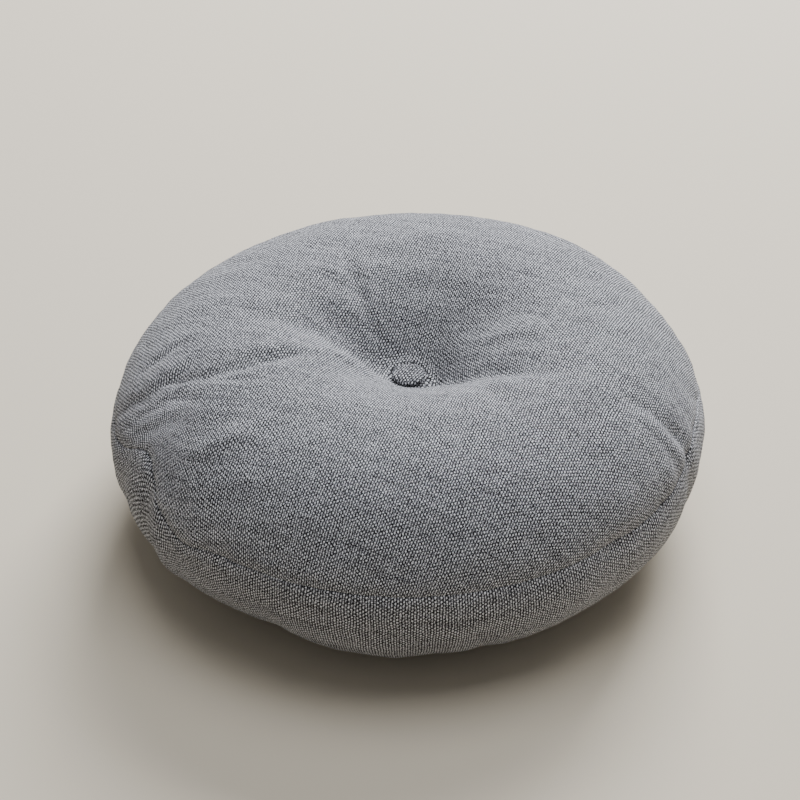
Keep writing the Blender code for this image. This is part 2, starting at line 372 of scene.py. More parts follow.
@dataclass(frozen=True)
class SlubbyWeave:
    """Linen-look plain weave of heathered grey yarn, woven from uneven, slubby threads.

    To the eye it is a matt, heathered grey: pale, slubby filling threads over darker warp threads.
    They cross in short slanted strokes with pinholes between them, which are darkened with painted
    shade, and thick and thin filling threads draw long faint streaks. The real yarns are finer than
    one can tell apart from a step away, so the weave is drawn about as coarse as its visible grain.

    The thread likeness says how alike neighbouring threads are: 1 gives each its own tone, and less
    lets a few together form a streak. The counter slant is the share of strokes that lean the other
    way. A gap's sharpness is how steeply the yarn falls away towards it.
    """

    name: str
    filling_spacing_mm: float = 1.5
    warp_spacing_mm: float = 2.0
    # The darkest colour: the darkest yarn and the painted shade in the pinholes.
    shadow_hex: str = "0C0C0E"
    middle_hex: str = "8C8C91"
    light_hex: str = "F9F9FC"
    warp_gap_sharpness: float = 1.7
    filling_gap_sharpness: float = 0.35
    counter_slant: float = 0.4
    filling_tone: float = 0.95
    warp_tone: float = 0.28
    filling_slub_strength: float = 2.1
    warp_slub_strength: float = 0.6
    cell_strength: float = 0.3
    heather_strength: float = 3.4
    heather_size_mm: float = 1.0
    # The tone that painted shade leaves at the bottom of the gaps between threads.
    painted_gap_shade: float = 0.05
    relief_mm: float = 0.26
    thread_likeness: float = 0.55
    slub_length_mm: float = 140.0
    slow_wander_mm: float = 1.0
    slow_wander_length_mm: float = 20.0
    quick_wander_mm: float = 0.35
    quick_wander_length_mm: float = 1.2
    roughness: float = 0.95
    sheen: float = 0.06

    def material(self) -> bpy.types.Material:
        """Build the cloth's material.

        Returns:
            A material that reads the piece's own grain map.
        """
        material = bpy.data.materials.new(self.name)
        material.use_nodes = True
        tree = material.node_tree
        shader = tree.nodes["Principled BSDF"]
        shader.inputs["Roughness"].default_value = self.roughness
        shader.inputs["Specular IOR Level"].default_value = 0.25
        shader.inputs["Sheen Weight"].default_value = self.sheen
        shader.inputs["Sheen Roughness"].default_value = 0.5
        place = self.thread_place(tree)
        weave, filling_on_top = self.crossings(tree, place)
        tone = self.tones(tree, place, weave, filling_on_top)
        tree.links.new(self.colours(tree, tone), shader.inputs["Base Color"])
        tree.links.new(self.surface(tree, weave, tone), shader.inputs["Normal"])
        return material

    def thread_place(self, tree: bpy.types.NodeTree) -> bpy.types.Node:
        """Return where a point lies in the cloth, in mm, with the threads' slow and quick wander."""
        grain = add_node(tree, "ShaderNodeUVMap", {"uv_map": GRAIN_MAP})
        place = add_node(
            tree, "ShaderNodeVectorMath", {"operation": "SCALE"}, {0: grain.outputs[0], "Scale": 1000.0}
        ).outputs[0]
        for length, reach in (
            (self.slow_wander_length_mm, self.slow_wander_mm),
            (self.quick_wander_length_mm, self.quick_wander_mm),
        ):
            drift = add_node(
                tree,
                "ShaderNodeTexNoise",
                {"noise_dimensions": "2D"},
                {"Vector": place, "Scale": 1.0 / length, "Detail": 1.0},
            )
            centred = add_node(
                tree,
                "ShaderNodeVectorMath",
                {"operation": "SUBTRACT"},
                {0: drift.outputs["Color"], 1: (0.5, 0.5, 0.5)},
            )
            place = add_node(
                tree,
                "ShaderNodeVectorMath",
                {"operation": "MULTIPLY_ADD"},
                {0: centred.outputs[0], 1: (reach * 2.0,) * 3, 2: place},
            ).outputs[0]
        return add_node(tree, "ShaderNodeSeparateXYZ", None, {0: place})

    def crossings(
        self, tree: bpy.types.NodeTree, place: bpy.types.Node
    ) -> tuple[bpy.types.NodeSocket, bpy.types.NodeSocket]:
        """Work out the weave's crossings, slanted as twisted yarn slants them.

        Args:
            tree: The node tree.
            place: The node that gives the place in the cloth.

        Returns:
            The height of the yarn, 0 in the gaps to 1, and how far the filling is on top, 0 to 1.
        """
        phases, heights = [], []
        for axis, spacing, sharpness in (
            (0, self.warp_spacing_mm, self.warp_gap_sharpness),
            (1, self.filling_spacing_mm, self.filling_gap_sharpness),
        ):
            phase = add_node(
                tree,
                "ShaderNodeMath",
                {"operation": "MULTIPLY"},
                {0: place.outputs[axis], 1: math.pi / spacing},
            )
            wave = add_node(tree, "ShaderNodeMath", {"operation": "SINE"}, {0: phase.outputs[0]})
            size = add_node(tree, "ShaderNodeMath", {"operation": "ABSOLUTE"}, {0: wave.outputs[0]})
            round_yarn = add_node(
                tree, "ShaderNodeMath", {"operation": "POWER"}, {0: size.outputs[0], 1: sharpness}
            )
            phases.append(phase.outputs[0])
            heights.append(round_yarn.outputs[0])
        height = add_node(
            tree, "ShaderNodeMath", {"operation": "MULTIPLY"}, {0: heights[0], 1: heights[1]}
        )
        slants = []
        for operation, weight in (("ADD", -0.5), ("SUBTRACT", 0.5 * self.counter_slant)):
            diagonal = add_node(
                tree, "ShaderNodeMath", {"operation": operation}, {0: phases[0], 1: phases[1]}
            )
            wave = add_node(
                tree, "ShaderNodeMath", {"operation": "COSINE"}, {0: diagonal.outputs[0]}
            )
            slants.append(
                add_node(
                    tree, "ShaderNodeMath", {"operation": "MULTIPLY"}, {0: wave.outputs[0], 1: weight}
                )
            )
        slanted = add_node(
            tree,
            "ShaderNodeMath",
            {"operation": "ADD"},
            {0: slants[0].outputs[0], 1: slants[1].outputs[0]},
        )
        on_top = add_node(
            tree,
            "ShaderNodeMapRange",
            {"interpolation_type": "SMOOTHSTEP"},
            {0: slanted.outputs[0], 1: -0.1, 2: 0.1, 3: 0.0, 4: 1.0},
        )
        return height.outputs[0], on_top.outputs[0]

    def thread_tone(
        self, tree: bpy.types.NodeTree, place: bpy.types.Node, along: int, spacing: float
    ) -> bpy.types.NodeSocket:
        """Give each thread of one set its own tone, which changes in slubs along it.

        Args:
            tree: The node tree.
            place: The node that gives the place in the cloth.
            along: The axis that these threads run along, 0 or 1.
            spacing: The distance between these threads, in mm.

        Returns:
            The tone, about 0 to 1.
        """
        count = add_node(
            tree,
            "ShaderNodeMath",
            {"operation": "DIVIDE"},
            {0: place.outputs[1 - along], 1: spacing},
        )
        number = add_node(tree, "ShaderNodeMath", {"operation": "FLOOR"}, {0: count.outputs[0]})
        own = add_node(
            tree,
            "ShaderNodeMath",
            {"operation": "MULTIPLY"},
            {0: number.outputs[0], 1: self.thread_likeness},
        )
        run = add_node(
            tree,
            "ShaderNodeMath",
            {"operation": "DIVIDE"},
            {0: place.outputs[along], 1: self.slub_length_mm},
        )
        spot = add_node(
            tree, "ShaderNodeCombineXYZ", None, {0: run.outputs[0], 1: own.outputs[0], 2: float(along)}
        )
        noise = add_node(
            tree,
            "ShaderNodeTexNoise",
            {"noise_dimensions": "3D"},
            {"Vector": spot.outputs[0], "Scale": 1.0, "Detail": 3.0, "Roughness": 0.7},
        )
        return noise.outputs["Fac"]

    def cell_tone(
        self, tree: bpy.types.NodeTree, place: bpy.types.Node
    ) -> bpy.types.NodeSocket:
        """Return a value of its own, 0 to 1, for each crossing of two threads."""
        numbers = []
        for axis, spacing in ((0, self.warp_spacing_mm), (1, self.filling_spacing_mm)):
            count = add_node(
                tree, "ShaderNodeMath", {"operation": "DIVIDE"}, {0: place.outputs[axis], 1: spacing}
            )
            numbers.append(
                add_node(tree, "ShaderNodeMath", {"operation": "FLOOR"}, {0: count.outputs[0]})
            )
        cell = add_node(
            tree,
            "ShaderNodeCombineXYZ",
            None,
            {0: numbers[0].outputs[0], 1: numbers[1].outputs[0], 2: 0.0},
        )
        noise = add_node(
            tree, "ShaderNodeTexWhiteNoise", {"noise_dimensions": "2D"}, {"Vector": cell.outputs[0]}
        )
        return noise.outputs["Value"]

    def tones(
        self,
        tree: bpy.types.NodeTree,
        place: bpy.types.Node,
        weave: bpy.types.NodeSocket,
        filling_on_top: bpy.types.NodeSocket,
    ) -> bpy.types.NodeSocket:
        """Work out how light the yarn is at a point.

        Args:
            tree: The node tree.
            place: The node that gives the place in the cloth.
            weave: How high the yarn stands, 0 in the gaps to 1.
            filling_on_top: How far the filling thread is on top, 0 to 1.

        Returns:
            The tone, 0 in the pinholes with their painted shade to 1 on the palest slubs.
        """
        fibre_place = add_node(
            tree, "ShaderNodeCombineXYZ", None, {0: place.outputs[0], 1: place.outputs[1], 2: 0.0}
        )
        heather = add_node(
            tree,
            "ShaderNodeTexNoise",
            {"noise_dimensions": "2D"},
            {
                "Vector": fibre_place.outputs[0],
                "Scale": 1.0 / self.heather_size_mm,
                "Detail": 1.0,
                "Roughness": 0.6,
            },
        )
        warp = self.thread_tone(tree, place, 1, self.warp_spacing_mm)
        filling = self.thread_tone(tree, place, 0, self.filling_spacing_mm)
        parts = []
        for value, strength, middle in (
            (warp, self.warp_slub_strength, self.warp_tone),
            (filling, self.filling_slub_strength, self.filling_tone),
            (heather.outputs["Fac"], self.heather_strength, 0.0),
            (self.cell_tone(tree, place), self.cell_strength, 0.0),
        ):
            inputs = {0: value, 1: strength, 2: middle - 0.5 * strength}
            part = add_node(tree, "ShaderNodeMath", {"operation": "MULTIPLY_ADD"}, inputs)
            parts.append(part.outputs[0])
        yarn = add_node(
            tree, "ShaderNodeMix", {"data_type": "FLOAT"}, {0: filling_on_top, 2: parts[0], 3: parts[1]}
        )
        spread = add_node(tree, "ShaderNodeMath", {"operation": "ADD"}, {0: parts[2], 1: parts[3]})
        total = add_node(
            tree, "ShaderNodeMath", {"operation": "ADD"}, {0: yarn.outputs[0], 1: spread.outputs[0]}
        )
        # Painted shade: the tone is darkened where the yarn sinks into the gaps between threads.
        gap_shade = add_node(
            tree,
            "ShaderNodeMapRange",
            {"interpolation_type": "SMOOTHSTEP"},
            {0: weave, 1: 0.0, 2: 0.8, 3: self.painted_gap_shade, 4: 1.0},
        )
        tone = add_node(
            tree,
            "ShaderNodeMath",
            {"operation": "MULTIPLY", "use_clamp": True},
            {0: total.outputs[0], 1: gap_shade.outputs[0]},
        )
        return tone.outputs[0]

    def colours(self, tree: bpy.types.NodeTree, tone: bpy.types.NodeSocket) -> bpy.types.NodeSocket:
        """Return the yarn's colour for a tone, from the painted shade of the pinholes to the palest slubs.
        """
        ramp = add_node(tree, "ShaderNodeValToRGB", None, {0: tone})
        band = ramp.color_ramp
        band.elements[0].color = linear_colour(self.shadow_hex)
        band.elements[1].color = linear_colour(self.light_hex)
        band.elements.new(0.5).color = linear_colour(self.middle_hex)
        return ramp.outputs["Color"]

    def surface(
        self, tree: bpy.types.NodeTree, weave: bpy.types.NodeSocket, tone: bpy.types.NodeSocket
    ) -> bpy.types.NodeSocket:
        """Return the normal of the threads' relief, in which pale, thick slubs stand proud."""
        thick = add_node(
            tree, "ShaderNodeMath", {"operation": "MULTIPLY_ADD"}, {0: tone, 1: 0.4, 2: 0.6}
        )
        relief = add_node(
            tree, "ShaderNodeMath", {"operation": "MULTIPLY"}, {0: weave, 1: thick.outputs[0]}
        )
        bump = add_node(
            tree,
            "ShaderNodeBump",
            None,
            {"Strength": 1.0, "Distance": self.relief_mm * MM, "Height": relief.outputs[0]},
        )
        return bump.outputs["Normal"]


@dataclass
class SeamLine:
    """A plain seam round the cushion: a broad draw-in with a narrow sewn channel in it."""

    turn: float
    draw_depth: float
    draw_reach: float
    channel_depth: float
    channel_reach: float


@dataclass
class FilledCushion:
    """The bag of top panel, side band and bottom panel round its filling, as one closed form."""

    widest_radius: float = 0.2262
    widest_height: float = 0.0886
    crown_radius: float = 0.108
    crown_height: float = 0.172
    rest_radius: float = 0.123
    seat_radius: float = 0.0131
    seat_height: float = 0.1265
    seam_spread: float = 28.0
    closing_seam_angle: float = 90.0
    grain_angle: float = 22.0
    lip_reach: float = 0.0012
    lip_height: float = 0.0014
    back_lip: float = 0.0027
    past_seam: float = 0.016
    swell_fade: float = 0.055
    seam_ripple: float = 0.00016
    closing_channel: float = 0.0009
    closing_draw: float = 0.0006
    broad_unevenness: float = 0.00045
    fine_unevenness: float = 0.00022
    gather_count: int = 19
    steps: int = 440
    row_gap: float = 0.0032
    seam_row_gap: float = 0.0006
    voxel: float = 0.005
    swell_room: float = 0.0002
    settle_frames: int = 20
    pressure: float = 4.5
    largest_move: float = 0.007

    def __post_init__(self) -> None:
        """Lay out the seams and the section that the form is turned from."""
        self.upper_seam = SeamLine(11.5, 0.0011, 0.0070, 0.0011, 0.0011)
        self.lower_seam = SeamLine(-57.0, 0.0012, 0.0080, 0.0010, 0.0012)
        self.side_scale = math.radians(1.0) * (self.widest_radius - self.crown_radius)
        self.section, self.row_turns = self.lay_out_section()
        radii, heights = np.array(self.section).T
        lengths = np.hypot(np.diff(radii), np.diff(heights))
        self.row_lengths = np.concatenate([[0.0], np.cumsum(lengths)])
        self.upper_row = int(np.nanargmin(np.abs(self.row_turns - self.upper_seam.turn)))
        self.lower_row = int(np.nanargmin(np.abs(self.row_turns - self.lower_seam.turn)))

    def side_points(self, turns: np.ndarray) -> tuple[np.ndarray, np.ndarray]:
        """Find points on the two elliptic arcs of the side.

        Args:
            turns: Turns round the side, -90 at the underside's rim, 0 at the widest and 90 at the crown.

        Returns:
            The radius and the height of each point.
        """
        angles = np.radians(turns)
        upper = turns >= 0.0
        inner = np.where(upper, self.crown_radius, self.rest_radius)
        rise = np.where(upper, self.crown_height - self.widest_height, self.widest_height)
        radii = inner + (self.widest_radius - inner) * np.cos(angles)
        return radii, self.widest_height + rise * np.sin(angles)

    def lay_out_section(self) -> tuple[list[tuple[float, float]], np.ndarray]:
        """Lay out the half section from the middle of the top to the middle of the underside.

        Returns:
            Radius and height of each row, and each row's turn round the side, with no number
            on the dimple and the underside.
        """
        seat = [(self.seat_radius * part, self.seat_height) for part in (0.0, 0.35, 0.7, 1.0)]
        span = self.crown_radius - self.seat_radius
        foot = self.seat_height + self.lip_height
        dimple = []
        for place in graded(0.0, span, 0.0, 0.0005, self.row_gap)[1:]:
            rise = (self.crown_height - foot) * math.sin(0.5 * math.pi * place / span)
            lip = self.lip_height * (1.0 - math.exp(-((place / self.lip_reach) ** 2)))
            dimple.append((self.seat_radius + place, self.seat_height + lip + rise))
        coarse = self.row_gap / self.side_scale * 0.8
        fine = self.seam_row_gap / self.side_scale
        middle = 0.5 * (self.upper_seam.turn + self.lower_seam.turn)
        turns = graded(90.0, self.upper_seam.turn, self.upper_seam.turn, fine, coarse)
        turns += graded(self.upper_seam.turn, middle, self.upper_seam.turn, fine, coarse)[1:]
        turns += graded(middle, self.lower_seam.turn, self.lower_seam.turn, fine, coarse)[1:]
        turns += graded(self.lower_seam.turn, -90.0, self.lower_seam.turn, fine, coarse)[1:]
        radii, heights = self.side_points(np.array(turns))
        side = [(float(radius), float(height)) for radius, height in zip(radii, heights)][1:]
        underside = [(self.rest_radius * part, 0.0) for part in (0.95, 0.85, 0.7, 0.5, 0.25, 0.0)]
        section = seat + dimple + side + underside
        row_turns = np.full(len(section), np.nan)
        first = len(seat) + len(dimple)
        row_turns[first : first + len(side)] = turns[1:]
        return section, row_turns

    def rows_and_angles(self, places: np.ndarray) -> tuple[np.ndarray, np.ndarray]:
        """Find each vertex's row in the section and its angle round the cushion."""
        radii, heights = np.array(self.section).T
        own_radius = np.hypot(places[:, 0], places[:, 1])
        rows = np.empty(len(places), dtype=int)
        for start in range(0, len(places), 4096):
            part = slice(start, start + 4096)
            apart = np.abs(own_radius[part, None] - radii) + np.abs(places[part, 2, None] - heights)
            rows[part] = np.argmin(apart, axis=1)
        return rows, np.degrees(np.arctan2(places[:, 1], places[:, 0]))

    def seam_climb(self, angles: np.ndarray) -> np.ndarray:
        """Return by how many degrees of turn the upper seam climbs at each angle."""
        total = np.zeros_like(angles)
        for rise in SEAM_RISES:
            total += rise.turn * bell(angle_between(angles, rise.angle), rise.angle_reach)
        return total

    def plump_places(self, rows: np.ndarray, angles: np.ndarray) -> np.ndarray:
        """Place every vertex of the bag before the folds: its seams wander and its filling is uneven.

        Args:
            rows: Each vertex's row in the section.
            angles: Each vertex's angle round the cushion.

        Returns:
            One row of x, y and z for each vertex.
        """
        section = np.array(self.section)
        radii, heights = section[rows].T.copy()
        turns = self.row_turns[rows]
        side = ~np.isnan(turns)
        near_seam = bell(turns[side] - self.upper_seam.turn, self.seam_spread)
        climbed = turns[side] + self.seam_climb(angles[side]) * near_seam
        radii[side], heights[side] = self.side_points(climbed)
        tangents = np.gradient(section, axis=0)
        tangents /= np.linalg.norm(tangents, axis=1)[:, None]
        out_radius, out_height = -tangents[rows, 1], tangents[rows, 0]
        amount = np.zeros_like(radii)
        inside_crown = ~side & (heights > self.widest_height)
        swell_heights = np.where(inside_crown, self.crown_height, heights)
        for swell in SWELLS:
            level = bell(swell_heights - swell.height, swell.height_reach)
            amount += swell.amount * level * bell(angle_between(angles, swell.angle), swell.angle_reach)
        amount *= 1.0 - eased((self.crown_radius - radii) / self.swell_fade) * inside_crown
        amount[~side & ~inside_crown] = 0.0
        radii += out_radius * amount
        heights += out_height * amount
        turned = np.radians(angles)
        return np.stack([radii * np.cos(turned), radii * np.sin(turned), heights], axis=1)

    def settle(self, bag: bpy.types.Object) -> bpy.types.Object:
        """Fill a copy of the bag by cloth simulation, held at its seams, its button and its rest.

        Args:
            bag: The bag before its folds.

        Returns:
            The settled copy, as a plain mesh that guides the bag and is removed afterwards.
        """
        filled = bag.copy()
        filled.data = bag.data.copy()
        filled.name = "filled_form"
        bpy.context.scene.collection.objects.link(filled)
        inward = mesh_array(filled.data, "normal") * self.swell_room
        start = mesh_array(filled.data, "co") - inward
        start[:, 2] = np.maximum(start[:, 2], 0.0)
        move_vertices(filled.data, start)
        select_only(filled)
        filled.data.remesh_voxel_size = self.voxel
        bpy.ops.object.voxel_remesh()
        before = mesh_array(filled.data, "co")
        held = self.held_weights(before)
        group = filled.vertex_groups.new(name="held")
        for index in np.nonzero(held > 0.02)[0]:
            group.add([int(index)], float(held[index]), "REPLACE")
        cloth = filled.modifiers.new("Fill", "CLOTH")
        settings = cloth.settings
        settings.quality = 6
        settings.mass = 0.25
        settings.tension_stiffness = 18.0
        settings.compression_stiffness = 12.0
        settings.shear_stiffness = 8.0
        settings.bending_stiffness = 0.4
        settings.use_pressure = True
        settings.uniform_pressure_force = self.pressure
        settings.vertex_group_mass = group.name
        settings.effector_weights.gravity = 0.0
        cloth.collision_settings.use_collision = False
        cloth.point_cache.frame_end = self.settle_frames
        for number in range(1, self.settle_frames + 1):
            bpy.context.scene.frame_set(number)
        apply_modifiers(filled)
        bpy.context.scene.frame_set(1)
        moves = mesh_array(filled.data, "co") - before
        lengths = np.linalg.norm(moves, axis=1)
        LOG.info("filling moved the cloth %.1f mm at most", lengths.max() / MM)
        shrink = np.minimum(1.0, self.largest_move / np.maximum(lengths, 1e-9))
        move_vertices(filled.data, before + moves * shrink[:, None])
        filled.modifiers.new("Smooth", "SUBSURF").levels = 1
        apply_modifiers(filled)
        return filled

    def held_weights(self, places: np.ndarray) -> np.ndarray:
        """Return how firmly each vertex of the filled form is held, from 0 to 1."""
        radii = np.hypot(places[:, 0], places[:, 1])
        angles = np.degrees(np.arctan2(places[:, 1], places[:, 0]))
        upper = places[:, 2] >= self.widest_height
        inner = np.where(upper, self.crown_radius, self.rest_radius)
        rise = np.where(upper, self.crown_height - self.widest_height, self.widest_height)
        upwards = (places[:, 2] - self.widest_height) / rise
        outwards = (radii - inner) / (self.widest_radius - inner)
        turns = np.degrees(np.arctan2(upwards, outwards))
        seam_turns = self.upper_seam.turn + self.seam_climb(angles)
        at_upper = bell((turns - seam_turns) * self.side_scale, 0.005)
        at_lower = bell((turns - self.lower_seam.turn) * self.side_scale, 0.005)
        at_seat = bell(np.maximum(radii - self.seat_radius, 0.0), 0.007) * upper
        at_rest = (places[:, 2] < 0.0015).astype(float)
        outer = radii > self.crown_radius
        held = np.maximum.reduce([at_upper * outer, at_lower * outer, at_seat, at_rest])
        return np.clip(held, 0.0, 1.0)

    def fold_depths(self, folds: Iterable[Fold], radii: np.ndarray, angles: np.ndarray) -> np.ndarray:
        """Add up how far folds press the top panel in.

        Args:
            folds: The folds.
            radii: Each vertex's distance from the middle.
            angles: Each vertex's angle round the cushion.

        Returns:
            One depth for each vertex.
        """
        total = np.zeros_like(radii)
        for fold in folds:
            part = (radii - fold.inner_radius) / (fold.outer_radius - fold.inner_radius)
            turn = (fold.outer_angle - fold.inner_angle + 180.0) % 360.0 - 180.0
            centre = fold.inner_angle + turn * part + fold.bow * 4.0 * part * (1.0 - part)
            across = radii * np.radians(angle_between(angles, centre))
            reach = eased((radii - fold.inner_radius) / fold.rise)
            reach = reach * eased((fold.outer_radius - radii) / fold.fall)
            total += fold.depth * reach * bell(across, fold.half_width)
        return total

    def button_gathers(self, radii: np.ndarray, angles: np.ndarray) -> np.ndarray:
        """Return the depth of the short, uneven gathers that the button draws into the cloth."""
        draw = np.random.default_rng(7)
        total = np.zeros_like(radii)
        for number in range(self.gather_count):
            angle = 360.0 * (number + draw.uniform(-0.3, 0.3)) / self.gather_count
            reach = draw.uniform(0.010, 0.026)
            depth = draw.uniform(0.0001, 0.0006)
            across = radii * np.radians(angle_between(angles, angle))
            along = faded(radii, 0.0, self.seat_radius + 0.004, reach)
            total += depth * along * bell(across, 0.0016 + 0.05 * radii)
        return total * (radii > self.seat_radius * 1.01)

    def lip_behind_button(self, radii: np.ndarray, angles: np.ndarray) -> np.ndarray:
        """Return how far the cloth stands up close round the button, most of all behind it."""
        behind = 0.5 + 0.5 * np.sin(np.radians(angles))
        away = radii - self.seat_radius * 1.01
        return self.back_lip * behind * eased(away / 0.0006) * bell(away, 0.006)

    def seam_gathers(self, angles: np.ndarray, away: np.ndarray, seed: int) -> np.ndarray:
        """Return the depth of the faint ripples that sewing leaves along a seam.

        Args:
            angles: Each vertex's angle round the cushion.
            away: Each vertex's distance from the seam.
            seed: What makes this seam's ripples its own.

        Returns:
            One depth for each vertex.
        """
        draw = np.random.default_rng(seed)
        ripple = np.zeros_like(angles)
        for count in (31, 47, 62, 83):
            ripple += np.cos(np.radians(angles) * count + draw.uniform(0.0, math.tau))
        return self.seam_ripple * ripple * bell(away, 0.010)

    def press(self, bag: bpy.types.Object, rows: np.ndarray, angles: np.ndarray) -> None:
        """Press folds, puckers, gathers and the sewn channels into the bag.

        Args:
            bag: The bag after it has been filled.
            rows: Each vertex's row in the section.
            angles: Each vertex's angle round the cushion.
        """
        places = mesh_array(bag.data, "co")
        normals = mesh_array(bag.data, "normal")
        radii = np.hypot(places[:, 0], places[:, 1])
        turns = self.row_turns[rows]
        side = ~np.isnan(turns)
        on_top = rows <= self.upper_row
        below_seam = np.where(on_top, 0.0, (self.upper_seam.turn - turns) * self.side_scale)
        kept = 1.0 - eased(np.nan_to_num(below_seam, nan=1.0) / self.past_seam)
        depths = kept * self.fold_depths(MAIN_FOLDS + FINE_FOLDS, radii, angles)
        depths += np.where(on_top, self.button_gathers(radii, angles), 0.0)
        for pucker in SIDE_PUCKERS:
            across = radii * np.radians(angle_between(angles, pucker.angle))
            reach = faded(places[:, 2], pucker.low, pucker.high, 0.016)
            depths += np.where(side, pucker.depth * reach * bell(across, pucker.half_width), 0.0)
        for seed, seam in enumerate((self.upper_seam, self.lower_seam)):
            away = np.where(side, (turns - seam.turn) * self.side_scale, 1.0)
            depths += seam.draw_depth * bell(away, seam.draw_reach)
            depths += seam.channel_depth * bell(away, seam.channel_reach)
            depths += self.seam_gathers(angles, away, seed + 11)
        on_band = (rows >= self.upper_row) & (rows <= self.lower_row)
        from_closing = radii * np.radians(angle_between(angles, self.closing_seam_angle))
        closing = self.closing_channel * bell(from_closing, 0.0022)
        closing += self.closing_draw * bell(from_closing, 0.008)
        depths += np.where(on_band, closing, 0.0)
        depths -= self.broad_unevenness * lumps(places, 0.034, 14, 3)
        depths -= self.fine_unevenness * lumps(places, 0.013, 18, 5)
        resting = np.clip(places[:, 2] / 0.004, 0.0, 1.0)
        within_seat = on_top & (radii < self.seat_radius * 0.9)
        seat_rim = on_top & ~within_seat & (radii < self.seat_radius * 1.01)
        depths = np.where(within_seat, 0.0, np.where(seat_rim, np.maximum(depths, 0.0), depths))
        places -= normals * (depths * resting)[:, None]
        places[:, 2] += np.where(on_top, self.lip_behind_button(radii, angles), 0.0)
        places[:, 2] = np.maximum(places[:, 2], 0.0)
        underside = np.array(self.section)[rows][:, 1] < 1e-6
        places[underside, 2] = 0.0
        move_vertices(bag.data, places)

    def lay_grain(self, mesh: bpy.types.Mesh, rows: np.ndarray, angles: np.ndarray) -> None:
        """Lay the weave on each panel in its own direction, cut as the maker cuts it.

        Args:
            mesh: The bag's mesh.
            rows: Each vertex's row in the section.
            angles: Each vertex's angle round the cushion.
        """
        corners = np.empty(len(mesh.loops), dtype=np.int32)
        mesh.loops.foreach_get("vertex_index", corners)
        starts = np.empty(len(mesh.polygons), dtype=np.int32)
        mesh.polygons.foreach_get("loop_start", starts)
        totals = np.empty(len(mesh.polygons), dtype=np.int32)
        mesh.polygons.foreach_get("loop_total", totals)
        corner_rows = rows[corners]
        first_row = np.repeat(np.minimum.reduceat(corner_rows, starts), totals)
        panel = np.full(len(corners), Panel.BAND.value)
        panel[first_row < self.upper_row] = Panel.TOP.value
        panel[first_row >= self.lower_row] = Panel.BOTTOM.value
        turned = np.radians(angles[corners] + self.grain_angle)
        from_top = self.row_lengths[corner_rows]
        from_bottom = self.row_lengths[-1] - from_top
        reach = np.where(panel == Panel.TOP.value, from_top, from_bottom)
        along, across = reach * np.cos(turned), reach * np.sin(turned)
        round_band = (angles[corners] - self.closing_seam_angle) % 360.0
        highest = np.repeat(np.maximum.reduceat(round_band, starts), totals)
        round_band = np.where(highest - round_band > 180.0, round_band + 360.0, round_band)
        seam_radius = self.section[self.upper_row][0]
        band = panel == Panel.BAND.value
        along[band] = np.radians(round_band[band]) * seam_radius
        across[band] = from_top[band]
        write_grain(mesh, along, across)

    def build(self, cloth: SlubbyWeave) -> bpy.types.Object:
        """Sew, fill, press and dress the cushion.

        Args:
            cloth: The cloth that the panels are cut from.

        Returns:
            The finished piece.
        """
        bag = turned_piece("sewn_cushion", self.section, self.steps)
        rows, angles = self.rows_and_angles(mesh_array(bag.data, "co"))
        move_vertices(bag.data, self.plump_places(rows, angles))
        filled = self.settle(bag)
        wrap = bag.modifiers.new("Take the filled form", "SHRINKWRAP")
        wrap.wrap_method = "TARGET_PROJECT"
        wrap.target = filled
        apply_modifiers(bag)
        bpy.data.objects.remove(filled)
        self.press(bag, rows, angles)
        self.lay_grain(bag.data, rows, angles)
        bag.data.materials.append(cloth.material())
        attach(bag, "root")
        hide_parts("cushion")
        return bag


@dataclass
class CoveredButton:
    """A domed button covered in the same cloth, drawn tight and tucked under its rim."""

    radius: float = 0.0128
    thickness: float = 0.0054
    base_radius: float = 0.0098
    base_height: float = 0.1269
    rim_part: float = 0.52
    flatness: float = 0.66
    steps: int = 96
    dome_rows: int = 14
    tuck_rows: int = 6
    pleat_count: int = 16
    pleat_part: float = 0.035
    unevenness: float = 0.00012
    grain_angle: float = 35.0

    def section(self) -> list[tuple[float, float]]:
        """Return the half section: a flattish dome, a round shoulder and a tuck under the rim."""
        rim = self.base_height + self.rim_part * self.thickness
        dome = self.base_height + self.thickness - rim
        points = [(0.0, rim + dome)]
        for row in range(1, self.dome_rows + 1):
            angle = 0.5 * math.pi * (1.0 - row / self.dome_rows)
            radius = self.radius * math.cos(angle) ** self.flatness
            points.append((radius, rim + dome * math.sin(angle)))
        for row in range(1, self.tuck_rows + 1):
            angle = 0.5 * math.pi * row / self.tuck_rows
            radius = self.base_radius + (self.radius - self.base_radius) * math.cos(angle)
            points.append((radius, rim - (rim - self.base_height) * math.sin(angle)))
        points += [(self.base_radius * 0.5, self.base_height), (0.0, self.base_height)]
        return points

    def build(self, cloth: SlubbyWeave) -> bpy.types.Object:
        """Turn, gather and dress the button.

        Args:
            cloth: The cloth that covers it.

        Returns:
            The finished piece.
        """
        button = turned_piece("covered_button", self.section(), self.steps)
        places = mesh_array(button.data, "co")
        radii = np.hypot(places[:, 0], places[:, 1])
        angles = np.degrees(np.arctan2(places[:, 1], places[:, 0]))
        rim = self.base_height + self.rim_part * self.thickness
        below = np.clip((rim - places[:, 2]) / (self.rim_part * self.thickness), 0.0, 1.0)
        pleats = 0.5 + 0.5 * np.cos(np.radians(angles) * self.pleat_count)
        inward = 1.0 - self.pleat_part * pleats * below
        places[:, 0] *= inward
        places[:, 1] *= inward
        on_dome = places[:, 2] > rim
        places[on_dome, 2] += self.unevenness * lumps(places[on_dome], 0.009, 8, 21)
        move_vertices(button.data, places)
        corners = np.empty(len(button.data.loops), dtype=np.int32)
        button.data.loops.foreach_get("vertex_index", corners)
        over_rim = np.where(on_dome, radii, 2.0 * self.radius - radii)
        turned = np.radians(angles + self.grain_angle)
        along = (over_rim * np.cos(turned))[corners]
        across = (over_rim * np.sin(turned))[corners]
        write_grain(button.data, along, across)
        button.data.materials.append(cloth.material())
        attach(button, "root")
        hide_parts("button")
        return button


